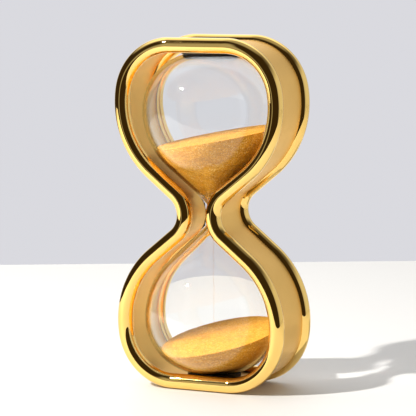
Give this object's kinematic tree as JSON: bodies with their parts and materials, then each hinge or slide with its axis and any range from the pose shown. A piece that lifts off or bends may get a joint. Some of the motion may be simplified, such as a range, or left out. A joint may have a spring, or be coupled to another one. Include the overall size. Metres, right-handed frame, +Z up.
{
  "type": "hourglass",
  "caption": "Figure-eight metal frame of two round-bar rims and a satin band, holding a sealed glass vessel with sand between two round pads.",
  "frame": {"origin": "centre of the base, on the surface that the object stands on", "axes": "+Z up along the vessel's axis, -Y out of the front rim, +X to the right seen from the front"},
  "size_m": [0.0828, 0.063, 0.16],
  "materials": {
    "polished_gold": "polished",
    "satin_gold": "satin",
    "clear_glass": "clear, polished",
    "black_pad": "matt",
    "golden_sand": "fine, granular"
  },
  "bodies": {
    "root": {"front_rim": "polished_gold", "rear_rim": "polished_gold", "frame_band": "satin_gold", "glass_vessel": "clear_glass", "top_pad": "black_pad", "bottom_pad": "black_pad", "upper_sand": "golden_sand", "lower_sand": "golden_sand", "sand_stream": "golden_sand"}
  },
  "joints": []
}
